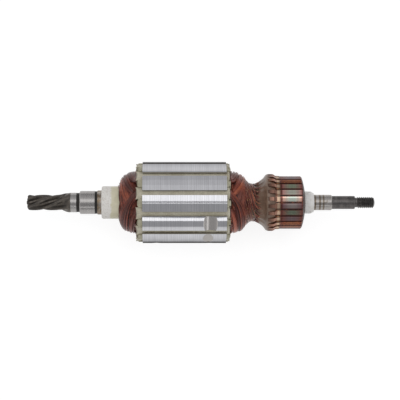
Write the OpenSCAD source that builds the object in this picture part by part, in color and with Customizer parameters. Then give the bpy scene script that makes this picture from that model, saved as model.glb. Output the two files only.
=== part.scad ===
// Wound armature of a universal motor, lying on its core with its shaft along X.
// The pinion points to -X and the threaded end to +X. The origin is on the shaft's axis, at the
// middle of the drive-end bearing seat. Each piece is drawn with angles about the shaft that start
// at +Y and grow towards +Z, and along_shaft() then turns it onto the two teeth that carry it.

/* [Shaft] */
// Diameter of the drive-end bearing seat
drive_seat_d = 12; // [11:0.5:14]
// Length of the drive-end bearing seat
drive_seat_len = 7.8; // [6:0.1:12]
// Width of the relief groove behind the drive-end seat
relief_len = 1.3; // [0.8:0.1:2.5]
// Diameter of the shoulder behind the relief groove
shoulder_d = 12.5; // [12.2:0.1:13.5]
// Width of that shoulder
shoulder_len = 2.2; // [1:0.1:4]
// Diameter of the shaft under the core
core_shaft_d = 10.5; // [9.5:0.1:11.5]
// Diameter of the shaft under the commutator
comm_journal_d = 8.8; // [8.4:0.1:9.4]
// Diameter of the commutator-end bearing seat
comm_seat_d = 8; // [7:0.1:8.2]
// Length of the commutator-end bearing seat
comm_seat_len = 9.2; // [6:0.1:14]
// Diameter of the reduced stretch beyond that seat
stub_d = 6.8; // [6.2:0.1:6.9]
// Length of the reduced stretch
stub_len = 12; // [6:0.5:20]
// Nominal diameter of the threaded end
thread_d = 6; // [5:0.5:6]
// Length of the threaded end
thread_len = 10; // [6:0.5:16]

/* [Pinion] */
// Outside diameter over the pinion's teeth
pinion_d = 8; // [7.5:0.1:9]
// Radial height of a pinion tooth
tooth_h = 1.8; // [1.2:0.1:2]
// Length of the pinion, from its tip to the land
pinion_len = 22.2; // [16:0.2:30]
// Length over which the tooth spaces run out into the land
runout_len = 6.6; // [4:0.2:8]
// Axial length of one whole turn of a tooth
pinion_lead = 47; // [40:1:60]
// Diameter of the land between pinion and seat
land_d = 10.15; // [9.6:0.05:10.8]
// Length of the land
land_len = 3.2; // [2:0.1:5]
// Length of the neck between land and seat
neck_len = 1.5; // [0.8:0.1:3]

/* [Core] */
// Outside diameter of the laminated core
core_d = 42; // [40:0.5:46]
// Length of the laminated core
core_len = 42.8; // [30:0.2:60]
// Radial depth of a slot, its mouth included
slot_depth = 10.5; // [9.6:0.1:11]
// Width of the tooth between two slots
tooth_w = 4.2; // [3.8:0.1:4.6]
// Width of a slot's mouth
slot_mouth = 2.5; // [1.8:0.1:3]
// Thickness of a tooth's tip at the slot's mouth
tip_t = 0.9; // [0.7:0.1:1.2]
// Radius of the cutter that milled the balance notches
cutter_r = 8; // [6:0.5:12]
// Depth of the deepest balance notch
notch_depth = 0.9; // [0.5:0.1:1.2]

/* [Winding] */
// Radial thickness of a bundle of wire in the winding heads
bundle_t = 2.3; // [2:0.1:2.4]
// Axial reach of the drive-end winding head beyond the insulator
drive_head_len = 10.8; // [8:0.2:13]
// Axial reach of the commutator-end winding head beyond the insulator
comm_head_len = 10.8; // [8:0.2:13]
// Diameter of a pair of lead wires
lead_d = 0.8; // [0.6:0.05:0.85]

/* [Insulation] */
// Wall of the moulded tube between shaft and core
tube_wall = 1.5; // [1.2:0.1:1.7]
// Outside diameter of the white sleeve at the drive end
sleeve_d = 16.8; // [16:0.1:17.2]
// Length of the sleeve that stands clear of the winding head
sleeve_clear = 8.2; // [5:0.1:12]
// Outside diameter of the sleeve at the commutator end
neck_sleeve_d = 16; // [15.4:0.1:16.8]
// Thickness of the drive-end insulator
drive_insulator_t = 2.1; // [1.6:0.1:3]
// Thickness of the commutator-end insulator
comm_insulator_t = 1; // [0.8:0.1:2]
// Outside diameter of the end insulators
insulator_d = 40.4; // [39.6:0.1:40.6]
// Thickness of the slot liners
liner_t = 0.25; // [0.15:0.05:0.3]
// Length of the liner cuffs that stand out of the end insulators
cuff_len = 0.9; // [0.5:0.1:1.4]
// Thickness of the slot wedges
wedge_t = 0.8; // [0.6:0.1:1]

/* [Commutator] */
// Diameter of the commutator's brush track
track_d = 27.2; // [26.6:0.1:28]
// Length of the commutator, from its hooks to its outer face
comm_len = 18.2; // [15:0.2:24]
// Length of the zone that the hooks take
hook_zone = 6.6; // [6:0.1:8]
// Height of a hook above the brush track
hook_rise = 1.1; // [0.9:0.05:1.3]
// Width of a hook
hook_w = 1.9; // [1.5:0.1:2.1]
// Gap between the winding head and the commutator's hooks
neck_gap = 8.95; // [8:0.05:12]
// Radial depth of a commutator bar, its root included
bar_depth = 4.6; // [4:0.1:5]
// Width of the slit between two bars
slit_w = 0.6; // [0.4:0.05:0.8]
// Depth of the slit above the separators
undercut = 0.7; // [0.4:0.1:1]
// Wall of the commutator's steel bush
bush_wall = 1.2; // [1:0.1:1.5]
// Height of the moulding's domed end above the ends of the bars
dome_rise = 2.1; // [1.2:0.1:3]
// Diameter of the white collar
collar_d = 11.4; // [10.6:0.2:11.6]
// Distance from the ends of the bars to the far face of the white collar
collar_reach = 6.35; // [4:0.05:9]

/* [Fits] */
// Radial gap of a pressed or moulded fit
fit = 0.02; // [0.01:0.01:0.03]
// Gap between loosely laid pieces
lay = 0.1; // [0.06:0.02:0.12]

/* [Hidden] */
slots = 12;
bars = 24;
coil_span = 5;
core_turn = 1.2;
slot_step = 360 / slots;
rest_turn = slot_step / 2 - core_turn;
bar_step = 360 / bars;

function numbered(name, count) = [for (i = [1:count]) str(name, i < 10 ? "0" : "", i)];
COILS = numbered("coil_", slots);
BARS = numbered("commutator_bar_", bars);

// The moulding's dome starts inside the track's edge and ends in a small flat behind the collar.
dome_inset = 0.6;
dome_ledge = 0.2;

// Stations along the shaft, from the pinion's tip to the threaded end.
seat_left = -drive_seat_len / 2;
land_right = seat_left - neck_len;
land_left = land_right - land_len;
pinion_tip = land_left - pinion_len;
seat_right = drive_seat_len / 2;
shoulder_left = seat_right + relief_len;
shoulder_right = shoulder_left + shoulder_len;
sleeve_left = shoulder_right + lay / 2;
drive_nose = sleeve_left + sleeve_clear;
insulator_left = drive_nose + drive_head_len;
core_left = insulator_left + drive_insulator_t;
core_right = core_left + core_len;
insulator_right = core_right + comm_insulator_t;
comm_nose = insulator_right + comm_head_len;
comm_left = comm_nose + neck_gap;
comm_right = comm_left + comm_len;
track_left = comm_left + hook_zone;
journal_right = comm_left - 1;
dome_r = track_d / 2 - dome_inset;
dome_flat_r = collar_d / 2 + dome_ledge;
function dome_at(r) = comm_right + dome_rise * (1 - pow(r / dome_r, 2));
dome_right = dome_at(dome_flat_r);
collar_left = dome_right + lay / 2;
collar_right = comm_right + collar_reach;
comm_seat_left = collar_right + 0.2;
comm_seat_right = comm_seat_left + comm_seat_len;
stub_right = comm_seat_right + stub_len;
thread_right = stub_right + thread_len;

// Radii that pieces share.
core_r = core_d / 2;
tube_r = core_shaft_d / 2 + fit + tube_wall;
bore_r = tube_r + fit;
slot_bottom = core_r - slot_depth;
tip_under = core_r - tip_t;
track_r = track_d / 2;
bar_root_r = track_r - bar_depth;
bush_r = comm_journal_d / 2 + fit + bush_wall;
riser_drop = 0.7;
riser_r = track_r - riser_drop;
hook_top = track_r + hook_rise;
hook_t = 0.85;

// Half the width of a slot with parallel-sided teeth at radius r, with its walls moved in by inset.
function slot_half(r, inset) =
    r * tan(slot_step / 2) - (tooth_w / 2 + inset) / cos(slot_step / 2);

// What fills a slot: liner, coil sides in two layers, and the wedge under the tooth tips.
tip_slope = 0.7;
wedge_sink = 0.8;
wedge_crown = 0.35;
coil_floor = 0.9;
low_share = 0.63;
narrowest_half = 0.35;
liner_in = lay / 2;
coil_in = liner_in + liner_t + lay / 2;
wedge_top = tip_under - wedge_sink;
wedge_bottom = wedge_top - wedge_t;
coil_top = wedge_bottom - lay;
coil_bottom = slot_bottom + liner_t + coil_floor;
coil_mid = coil_bottom + low_share * (coil_top - coil_bottom);
low_half = (coil_mid - lay - coil_bottom) / 2;
top_half = (coil_top - coil_mid - lay) / 2;
slot_low_r = coil_bottom + low_half;
slot_top_r = coil_top - top_half;

// Winding heads: a low layer spirals out to the nose and a top layer spirals back.
head_half = bundle_t / 2;
layer_pitch = bundle_t + 3.5 * lay;
nose_low_r = max(sleeve_d, neck_sleeve_d) / 2 + 1.5 * lay + head_half;
nose_top_r = nose_low_r + layer_pitch;
nose_mid_r = (nose_low_r + nose_top_r) / 2;
head_rise = slot_top_r - nose_top_r;
side_gap_angle = 0.9;
bundle_half_angle = slot_step / 2 - side_gap_angle;
head_steps = 20;
exit_share = 0.3;

// Lays a shape drawn with its axis along Z so that the axis lies along X and a slot is undermost.
module along_shaft() { rotate([90, 0, 90]) rotate([0, 0, rest_turn]) children(); }
module around(count, first = 0) {
    for (k = [0:count - 1]) rotate([0, 0, first + k * 360 / count]) children();
}
module tube(r_out, r_in, from, to) {
    translate([0, 0, from]) difference() {
        cylinder(r = r_out, h = to - from, $fn = 96);
        translate([0, 0, -1]) cylinder(r = r_in, h = to - from + 2, $fn = 96);
    }
}

// ---- Pinion: five helical teeth whose spaces run out into the land.
pinion_teeth = 5;
pinion_rings = 20;
pinion_r = pinion_d / 2;
first_tooth = 62;
tip_ease = 0.8;
tip_drop = 0.4;
tooth_lag = 0.6;
land_sink = 0.06;
// Section of a tooth: angle from the middle of its crest, and share of the tooth's height below it.
tooth_angles = [-30, -22.5, -17, -12, -7, 7, 12, 17, 22.5, 30];
tooth_drop = [1, 0.92, 0.6, 0.27, 0, 0, 0.27, 0.6, 0.92, 1];
function smooth(t) = let (c = min(1, max(0, t))) c * c * (3 - 2 * c);
function runout(z) = smooth((z - (land_left - runout_len)) / runout_len);
function pinion_envelope(z) = pinion_r + (land_d / 2 - land_sink - pinion_r) * runout(z);
function pinion_ring(z) = [
    for (t = [0:pinion_teeth - 1], k = [0:len(tooth_angles) - 1])
        let (tip = (smooth((z - pinion_tip) / tip_ease) - 1) * tip_drop,
             r = pinion_envelope(z) + tip - tooth_h * tooth_drop[k] * (1 - runout(z + tooth_lag)),
             a = first_tooth + t * 360 / pinion_teeth + tooth_angles[k]
                 - 360 * (z - pinion_tip) / pinion_lead)
        [r * cos(a), r * sin(a), z]];
module pinion() {
    side = pinion_teeth * len(tooth_angles);
    toothed = land_left + 0.5 - pinion_tip - tip_ease;
    stations = concat([0, tip_ease / 2],
        [for (i = [0:pinion_rings - 2]) tip_ease + toothed * i / (pinion_rings - 2)]);
    rings = len(stations);
    points = [for (s = stations) each pinion_ring(pinion_tip + s)];
    faces = concat(
        [[for (k = [0:side - 1]) k]],
        [for (i = [0:rings - 2], k = [0:side - 1]) let (n = (k + 1) % side)
            [i * side + k, (i + 1) * side + k, (i + 1) * side + n, i * side + n]],
        [[for (k = [0:side - 1]) rings * side - 1 - k]]);
    polyhedron(points = points, faces = faces, convexity = 8);
}

// ---- Shaft: one turned steel piece with the pinion cut on its end.
module shaft() {
    chamfer = 0.4;
    relief = 0.15;
    boss_r = 1.3;
    boss_len = 0.5;
    thread_root_r = thread_d / 2 - 0.45;
    profile = [
        [pinion_tip - boss_len, 0], [pinion_tip - boss_len, boss_r - chamfer],
        [pinion_tip - boss_len + chamfer, boss_r], [pinion_tip + boss_len, boss_r],
        [land_left, boss_r], [land_left, land_d / 2], [land_right, land_d / 2],
        [land_right, land_d / 2 - relief], [seat_left, land_d / 2 - relief],
        [seat_left, drive_seat_d / 2 - chamfer], [seat_left + chamfer, drive_seat_d / 2],
        [seat_right, drive_seat_d / 2], [seat_right, drive_seat_d / 2 - relief],
        [shoulder_left, drive_seat_d / 2 - relief],
        [shoulder_left, shoulder_d / 2], [shoulder_right, shoulder_d / 2],
        [shoulder_right, core_shaft_d / 2], [journal_right, core_shaft_d / 2],
        [journal_right, comm_journal_d / 2], [comm_seat_left - 0.1, comm_journal_d / 2],
        [comm_seat_left, comm_seat_d / 2], [comm_seat_right - chamfer, comm_seat_d / 2],
        [comm_seat_right, comm_seat_d / 2 - chamfer], [comm_seat_right, stub_d / 2],
        [stub_right - 0.2, stub_d / 2], [stub_right - 0.2, thread_root_r],
        [stub_right + 1, thread_root_r], [stub_right + 1.4, thread_d / 2],
        [thread_right - 1.5, thread_d / 2], [thread_right - 0.6, thread_d / 2 - 0.8],
        [thread_right, thread_d / 2 - 1.9], [thread_right, 0]];
    color("silver") along_shaft() union() {
        rotate_extrude($fn = 96) polygon([for (p = profile) [p[1], p[0]]]);
        pinion();
    }
}

// ---- Core and its insulation.
module slot_shape(inset, mouth) {
    low = slot_bottom + inset;
    high = tip_under - inset;
    shoulder = high - tip_slope;
    polygon([
        [low, -slot_half(low, inset)], [shoulder, -slot_half(shoulder, inset)],
        [high, -mouth / 2], [core_r + 1, -mouth / 2], [core_r + 1, mouth / 2],
        [high, mouth / 2], [shoulder, slot_half(shoulder, inset)], [low, slot_half(low, inset)]]);
}

// Teeth counted from the one on top: tooth, distance of the notch from the core's left face, depth.
notches = [[1, core_len - 8.25, notch_depth], [2, core_len - 9.4, notch_depth * 0.55],
           [3, core_len - 8.6, notch_depth * 0.3], [3, 7, notch_depth * 0.4], [8, 9.5, notch_depth * 0.8]];
module balance_notch(place) {
    rotate([0, 0, 90 + core_turn + place[0] * slot_step])
        translate([core_r - place[2] + cutter_r, 0, place[1]])
            rotate([90, 0, 0]) cylinder(r = cutter_r, h = 20, center = true, $fn = 96);
}
module core() {
    color("lightslategray") along_shaft() difference() {
        translate([0, 0, core_left]) linear_extrude(height = core_len) difference() {
            circle(r = core_r, $fn = 144);
            circle(r = bore_r, $fn = 96);
            around(slots, 90 + core_turn - slot_step / 2) slot_shape(0, slot_mouth);
        }
        translate([0, 0, core_left]) for (place = notches) balance_notch(place);
    }
}

module insulator(from, thickness, outward) {
    block_root = thickness / 4;
    block_len = cuff_len + block_root;
    block_from = outward > 0 ? thickness - block_root : -cuff_len;
    color("tan") along_shaft() translate([0, 0, from]) {
        linear_extrude(height = thickness) difference() {
            circle(r = insulator_d / 2, $fn = 144);
            circle(r = bore_r, $fn = 96);
            around(slots, 90 + core_turn - slot_step / 2) slot_shape(-lay / 2, slot_mouth + 2);
        }
        around(slots, 90 + core_turn) translate([0, 0, block_from])
            linear_extrude(height = block_len) polygon([
                [coil_top + 0.5, -tooth_w / 2 + 0.3], [insulator_d / 2 - 0.1, -tooth_w / 2 - 0.1],
                [insulator_d / 2 - 0.1, tooth_w / 2 + 0.1], [coil_top + 0.5, tooth_w / 2 - 0.3]]);
    }
}
module insulator_drive_end() { insulator(insulator_left, drive_insulator_t, -1); }
module insulator_commutator_end() { insulator(core_right, comm_insulator_t, 1); }

// A liner is a folded sheet that follows the slot's two walls and its floor.
module slot_liners() {
    out = liner_in;
    in = liner_in + liner_t;
    low = slot_bottom + liner_in;
    high = wedge_top;
    color("beige") along_shaft() translate([0, 0, insulator_left - cuff_len])
        linear_extrude(height = insulator_right - insulator_left + 2 * cuff_len)
            around(slots, 90 + core_turn - slot_step / 2) polygon([
                [low, -slot_half(low, out)], [high, -slot_half(high, out)], [high, -slot_half(high, in)],
                [low + liner_t, -slot_half(low + liner_t, in)],
                [low + liner_t, slot_half(low + liner_t, in)],
                [high, slot_half(high, in)], [high, slot_half(high, out)], [low, slot_half(low, out)]]);
}
module slot_wedges() {
    inset = coil_in;
    color("darkkhaki") along_shaft() translate([0, 0, insulator_left - cuff_len / 2])
        linear_extrude(height = insulator_right - insulator_left + cuff_len)
            around(slots, 90 + core_turn - slot_step / 2) polygon([
                [wedge_bottom, -slot_half(wedge_bottom, inset)],
                [wedge_top, -slot_half(wedge_top, inset)],
                [wedge_top + wedge_crown, 0],
                [wedge_top, slot_half(wedge_top, inset)], [wedge_bottom, slot_half(wedge_bottom, inset)]]);
}

module shaft_tube() {
    color("ivory") along_shaft() tube(tube_r, core_shaft_d / 2 + fit, sleeve_left, journal_right - lay);
}
module drive_end_sleeve() {
    bevel = 0.5;
    from = sleeve_left;
    to = insulator_left - lay / 2;
    color("white") along_shaft() rotate_extrude($fn = 96) polygon([
        [bore_r, from], [sleeve_d / 2 - bevel, from], [sleeve_d / 2, from + bevel],
        [sleeve_d / 2, to], [bore_r, to]]);
}
module neck_sleeve() {
    color("ivory") along_shaft() tube(neck_sleeve_d / 2, bore_r, insulator_right + lay / 2, comm_left - lay);
}

// ---- Coils: each is one closed loop of wire that fills the low half of one slot and the top half
// of the slot coil_span further on, and crosses over at the nose of each winding head.
function exit_fade(u) = pow(max(0, 1 - u / exit_share), 2);
exit_lift = 0.32;
crown_share = 0.095;
function top_line(u) = nose_top_r
    + head_rise * ((1 - exit_lift) * (1 - u) + exit_lift * exit_fade(u) + crown_share * sin(180 * u));
function low_line(u) = nose_low_r + top_line(u) - nose_top_r
    - (nose_low_r + head_rise - slot_low_r) * exit_fade(u);
nose_share = 0.16;
line_share = (1 - nose_share) / 2;
// Place of a bundle's middle at t, from 0 at the low slot to 1 at the top slot:
// distance beyond the cuff, radius, and the direction of the bundle's thickness.
function head_place(t, reach) =
    t <= line_share ? let (u = t / line_share) [u * reach, low_line(u), 0, -1]
    : t >= 1 - line_share ? let (u = (1 - t) / line_share) [u * reach, top_line(u), 0, 1]
    : let (a = 180 * (t - line_share) / nose_share - 90)
        [reach + layer_pitch / 2 * cos(a), nose_mid_r + layer_pitch / 2 * sin(a), cos(a), sin(a)];
turn_ease = 0.75;
function head_turn(t) = coil_span * slot_step * (t - turn_ease * sin(360 * t) / (2 * PI));
// Eight corners of a bundle's section: share of the half thickness, share of the half width.
section = [
    [1, -0.55], [1, 0.55], [0.6, 0.95], [-0.6, 0.95],
    [-1, 0.55], [-1, -0.55], [-0.6, -0.95], [0.6, -0.95]];
function slot_angle(r) = asin(max(narrowest_half, slot_half(r, coil_in)) / r);
function coil_ring(t, exit, outward, reach) =
    let (place = head_place(t, reach),
         u = t < 0.5 ? t / line_share : (1 - t) / line_share,
         fade = exit_fade(u),
         half = head_half + ((t < 0.5 ? low_half : top_half) - head_half) * fade)
    [for (c = section)
        let (x = exit + outward * (place[0] + half * c[0] * place[2]),
             r = place[1] + half * c[0] * place[3],
             width = bundle_half_angle + (slot_angle(r) - bundle_half_angle) * fade,
             a = head_turn(t) + width * c[1])
        [r * cos(a), r * sin(a), x]];
function head_station(i) = let (s = 2 * i / head_steps - 1) (1 + sign(s) * pow(abs(s), 1.25)) / 2;
module coil(index) {
    nose_r = layer_pitch / 2 + head_half;
    left_exit = insulator_left - cuff_len;
    right_exit = insulator_right + cuff_len;
    left = [for (i = [0:head_steps])
        coil_ring(head_station(i), left_exit, -1, drive_head_len - cuff_len - nose_r)];
    right = [for (i = [head_steps:-1:0])
        coil_ring(head_station(i), right_exit, 1, comm_head_len - cuff_len - nose_r)];
    rings = concat(left, right);
    count = len(rings);
    side = len(section);
    faces = [for (i = [0:count - 1], k = [0:side - 1])
        let (j = (i + 1) % count, n = (k + 1) % side)
        [i * side + k, i * side + n, j * side + n, j * side + k]];
    color("sienna") along_shaft() rotate([0, 0, 90 + core_turn + (index - 0.5) * slot_step])
        polyhedron(points = [for (ring = rings) each ring], faces = faces, convexity = 10);
}

// ---- Leads: pairs of wires laid over the neck that bend sideways into the hooks.
lead_r = lead_d / 2;
neck_r = neck_sleeve_d / 2 + lay + 0.9;
eye_r = riser_r + lay / 2 + lead_r;
function neck_line(s) = neck_r + (eye_r - neck_r) * pow(s, 2.2);
fillet_left = comm_nose + 0.4;
fillet_len = comm_left - lay / 2 - fillet_left;
lead_start = comm_nose + 0.2;
lead_bend = comm_left + 1;
eye_depth = 1.5;
bend_share = 0.75;
function clamp(t) = max(0, min(1, t));
// Middle of a lead at s, from 0 at the winding head to 1 in the hook: station, radius, angle.
function lead_point(s) = s < bend_share
    ? let (x = lead_start + (lead_bend - lead_start) * s / bend_share)
        [x, neck_line(clamp((x - fillet_left) / fillet_len)) + lay / 2, 0]
    : let (u = (s - bend_share) / (1 - bend_share))
        [lead_bend + eye_depth * smooth(u), eye_r, bar_step / 2 * u];
function lead_ring(s) =
    let (p = lead_point(s), turn = s < bend_share ? 0 : smooth((s - bend_share) / 0.15) * 90)
    [for (k = [0:5])
        let (r = p[1] + lead_r * cos(60 * k), across = lead_r * sin(60 * k),
             x = p[0] - across * sin(turn), y = across * cos(turn))
        [r * cos(p[2]) - y * sin(p[2]), r * sin(p[2]) + y * cos(p[2]), x]];
module lead() {
    steps = [0, 0.19, 0.38, 0.5, 0.6, 0.68, 0.75, 0.83, 0.9, 1];
    count = len(steps);
    polyhedron(points = [for (s = steps) each lead_ring(s)],
        faces = concat([[5, 4, 3, 2, 1, 0]],
            [for (i = [0:count - 2], k = [0:5]) let (n = (k + 1) % 6)
                [i * 6 + k, i * 6 + n, (i + 1) * 6 + n, (i + 1) * 6 + k]],
            [[for (k = [0:5]) (count - 1) * 6 + k]]), convexity = 4);
}
module coil_leads() { color("peru") along_shaft() around(bars, 90) lead(); }
module lead_fillet() {
    steps = 12;
    color("saddlebrown") along_shaft() rotate_extrude($fn = 96) polygon(concat(
        [[neck_sleeve_d / 2 + fit, fillet_left + fillet_len], [neck_sleeve_d / 2 + fit, fillet_left]],
        [for (i = [0:steps]) [neck_line(i / steps) - lead_r, fillet_left + fillet_len * i / steps]]));
}

// ---- Commutator: bars with dovetail roots, held by a moulding on a steel bush.
bar_half = bar_step / 2 - asin(slit_w / 2 / track_r);
hook_lead = 0.9;
bar_left = comm_left + hook_lead;
bar_right = comm_right - lay;
end_chamfer = 0.5;
lip_r = track_r - 1.9;
waist_r = track_r - 2.5;
waist_in = 2.5;
root_in = 1.2;
function bar_profile(sunk) = [
    [bar_left, riser_r - sunk], [track_left, riser_r - sunk], [track_left, track_r - sunk],
    [bar_right - end_chamfer, track_r - sunk],
    [bar_right, track_r - max(sunk, end_chamfer)], [bar_right, lip_r],
    [bar_right - waist_in, waist_r], [bar_right - root_in, bar_root_r],
    [bar_left + root_in, bar_root_r], [bar_left + waist_in, waist_r], [bar_left, lip_r]];
// The hook rises from the bar's end, curls back over the leads and lands in front of the track.
module hook() {
    left = comm_left + lay;
    inner = hook_top - hook_t;
    foot_r = track_r - 1.8;
    seat_r = riser_r - 0.1;
    crown_left = left + 0.9;
    crown_right = left + 3.1;
    heel = left + 4.6;
    outside = [
        [foot_r, left + 0.9], [riser_r - 0.6, left + 0.15], [hook_top - 0.9, left],
        [hook_top - 0.25, left + 0.25], [hook_top, crown_left], [hook_top, crown_right],
        [hook_top - 0.25, crown_right + 0.6], [track_r + 0.2, heel],
        [track_r + 0.12, track_left - lay]];
    inside = [
        [seat_r, track_left - lay], [seat_r, heel - 0.2], [riser_r + 0.1, heel - 0.5],
        [inner - 0.15, crown_right + 0.25], [inner, crown_right - 0.1], [inner, crown_left + 0.6],
        [inner - 0.2, crown_left + 0.2], [seat_r, crown_left + 0.1], [foot_r, crown_left + 0.5]];
    translate([0, hook_w / 2, 0]) rotate([90, 0, 0])
        linear_extrude(height = hook_w) polygon(concat(outside, inside));
}
module commutator_bar(index) {
    color("chocolate") along_shaft() rotate([0, 0, 90 + (index + 0.5) * bar_step]) union() {
        rotate([0, 0, -bar_half]) rotate_extrude(angle = 2 * bar_half, $fn = 192)
            polygon(bar_profile(0) * [[0, 1], [1, 0]]);
        hook();
    }
}
separator_gap_angle = 0.08;
module commutator_separators() {
    half = bar_step / 2 - bar_half - separator_gap_angle;
    color("dimgray") along_shaft() around(bars, 90)
        rotate([0, 0, -half]) rotate_extrude(angle = 2 * half, $fn = 192)
            polygon(bar_profile(undercut) * [[0, 1], [1, 0]]);
}
module commutator_moulding() {
    gap = lay / 2;
    rim_r = riser_r - hook_lead;
    rim_left = comm_left + 2 * lay;
    steps = 5;
    color("maroon") along_shaft() rotate_extrude($fn = 96) polygon(concat(
        [[bush_r + fit, rim_left], [rim_r, rim_left], [rim_r, bar_left - gap],
         [lip_r - gap, bar_left - gap], [waist_r - gap, bar_left + waist_in - gap],
         [bar_root_r - gap, bar_left + root_in - gap], [bar_root_r - gap, bar_right - root_in + gap],
         [waist_r - gap, bar_right - waist_in + gap], [lip_r - gap, bar_right + gap],
         [dome_r, bar_right + gap]],
        [for (i = [0:steps]) let (r = dome_r + (dome_flat_r - dome_r) * i / steps) [r, dome_at(r)]],
        [[bush_r + fit, dome_right]]));
}
module commutator_bush() {
    color("gray") along_shaft() tube(bush_r, comm_journal_d / 2 + fit, comm_left - 0.5, dome_right);
}
module collar() {
    bevel = (collar_d - comm_journal_d) / 3;
    bevel_len = 1.6;
    color("whitesmoke") along_shaft() rotate_extrude($fn = 96) polygon([
        [comm_journal_d / 2 + fit, collar_left], [collar_d / 2, collar_left],
        [collar_d / 2, collar_right - bevel_len], [collar_d / 2 - bevel, collar_right],
        [comm_journal_d / 2 + fit, collar_right]]);
}

shaft();
core();
insulator_drive_end();
insulator_commutator_end();
slot_liners();
slot_wedges();
shaft_tube();
drive_end_sleeve();
neck_sleeve();
coil_leads();
lead_fillet();
commutator_bush();
commutator_moulding();
commutator_separators();
collar();
for (i = [0:slots - 1]) coil(i);
for (i = [0:bars - 1]) commutator_bar(i);
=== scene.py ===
"""Looks of a wound motor armature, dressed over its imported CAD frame.

The shaft lies along X with its axis on Y = Z = 0. The measures of the armature are in millimetres and
are scaled by MM when a mesh is made; the studio's are in metres. Angles about the shaft are in degrees
from +Y towards +Z, as they are before the armature is turned by REST_TURN onto its teeth.
"""

import math

import bmesh
import bpy
import numpy as np
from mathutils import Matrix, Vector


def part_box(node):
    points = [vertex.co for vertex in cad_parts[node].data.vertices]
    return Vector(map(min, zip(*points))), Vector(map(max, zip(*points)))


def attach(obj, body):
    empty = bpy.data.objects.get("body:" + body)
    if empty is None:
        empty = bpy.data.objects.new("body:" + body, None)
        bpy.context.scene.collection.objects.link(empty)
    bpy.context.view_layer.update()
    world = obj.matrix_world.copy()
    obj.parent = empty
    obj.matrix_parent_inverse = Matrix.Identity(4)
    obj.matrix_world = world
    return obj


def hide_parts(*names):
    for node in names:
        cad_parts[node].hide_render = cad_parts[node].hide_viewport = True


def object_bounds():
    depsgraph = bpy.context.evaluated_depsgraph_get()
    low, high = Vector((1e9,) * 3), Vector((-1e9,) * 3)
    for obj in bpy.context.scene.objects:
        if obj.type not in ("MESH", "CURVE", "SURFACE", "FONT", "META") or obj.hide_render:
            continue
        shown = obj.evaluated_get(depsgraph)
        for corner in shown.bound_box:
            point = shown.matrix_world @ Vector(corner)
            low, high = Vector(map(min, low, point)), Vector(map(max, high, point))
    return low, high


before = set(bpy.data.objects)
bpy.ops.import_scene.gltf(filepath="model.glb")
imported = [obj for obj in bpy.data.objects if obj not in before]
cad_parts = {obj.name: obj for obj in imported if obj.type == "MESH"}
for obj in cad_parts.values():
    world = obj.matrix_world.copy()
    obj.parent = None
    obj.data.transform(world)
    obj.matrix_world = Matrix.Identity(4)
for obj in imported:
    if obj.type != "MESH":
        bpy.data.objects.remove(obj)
cad_low, cad_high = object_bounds()
MM = 0.001
random = np.random.default_rng(12)


# ---------------------------------------------------------------- measures of the armature
def span(node):
    """Lowest and highest X of a CAD node, in millimetres."""
    low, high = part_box(node)
    return low.x / MM, high.x / MM


def outer_radius(node):
    """Half the height of a CAD node, in millimetres."""
    low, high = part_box(node)
    return (high.z - low.z) / 2 / MM


# Counts, and turns about the shaft.
SLOTS = 12
BARS = 24
COIL_SPAN = 5
SLOT_STEP = 360 / SLOTS
BAR_STEP = 360 / BARS
CORE_TURN = 1.2
REST_TURN = SLOT_STEP / 2 - CORE_TURN
TOP_SLOT = 90 + CORE_TURN - SLOT_STEP / 2

# Stations along the shaft. The insulators' blocks reach as far as the liners' cuffs.
CUFF_LEN = 0.9
SLEEVE_SHOWN = 8.5
SHAFT_LEFT, SHAFT_RIGHT = span("shaft")
SLEEVE_LEFT = span("drive_end_sleeve")[0]
COIL_LEFT, COIL_RIGHT = span("coil_01")
CUFF_LEFT, CUFF_RIGHT = span("slot_liners")
INSULATOR_LEFT = span("insulator_drive_end")[0] + CUFF_LEN
INSULATOR_RIGHT = span("insulator_commutator_end")[1] - CUFF_LEN
CORE_LEFT, CORE_RIGHT = span("core")
BAR_LEFT, BAR_RIGHT = span("commutator_bar_01")
SMALL_SEAT_LEFT = span("collar")[1] + 0.2

# Radii, and the sizes of the core's teeth and slots.
SLEEVE_R = outer_radius("drive_end_sleeve")
NECK_SLEEVE_R = outer_radius("neck_sleeve")
CORE_R = 21.0
INSULATOR_R = 20.2
BORE_R = 6.79
TOOTH_W = 4.2
SLOT_BOTTOM = 10.5
WEDGE_TOP = 19.3
WEDGE_T = 0.8


# ---------------------------------------------------------------- mesh helpers
def polar(x, r, angle):
    """Points in metres from stations, radii and angles about the shaft."""
    a = np.radians(angle + REST_TURN)
    return np.stack([x + 0 * a, r * np.cos(a), r * np.sin(a)], axis=-1) * MM


def make_piece(name, points, faces, materials, replaced, sharp_angle, face_materials=None):
    """Makes a smooth-shaded mesh object that rides on the root body and stands for CAD nodes."""
    mesh = bpy.data.meshes.new(name)
    mesh.from_pydata([tuple(p) for p in points], [], [tuple(int(i) for i in f) for f in faces])
    mesh.validate()
    for material in materials:
        mesh.materials.append(material)
    if face_materials is not None:
        mesh.polygons.foreach_set("material_index", np.asarray(face_materials, dtype=np.int32))
    mesh.polygons.foreach_set("use_smooth", np.ones(len(mesh.polygons), dtype=bool))
    mesh.set_sharp_from_angle(angle=math.radians(sharp_angle))
    piece = bpy.data.objects.new(name, mesh)
    bpy.context.scene.collection.objects.link(piece)
    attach(piece, "root")
    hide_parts(*replaced)
    return piece


def weld(piece):
    """Merges points that lie on each other, such as at the ends of the shaft."""
    mesh = bmesh.new()
    mesh.from_mesh(piece.data)
    bmesh.ops.remove_doubles(mesh, verts=mesh.verts, dist=0.0005 * MM)
    bmesh.ops.recalc_face_normals(mesh, faces=mesh.faces)
    mesh.to_mesh(piece.data)
    mesh.free()


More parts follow.
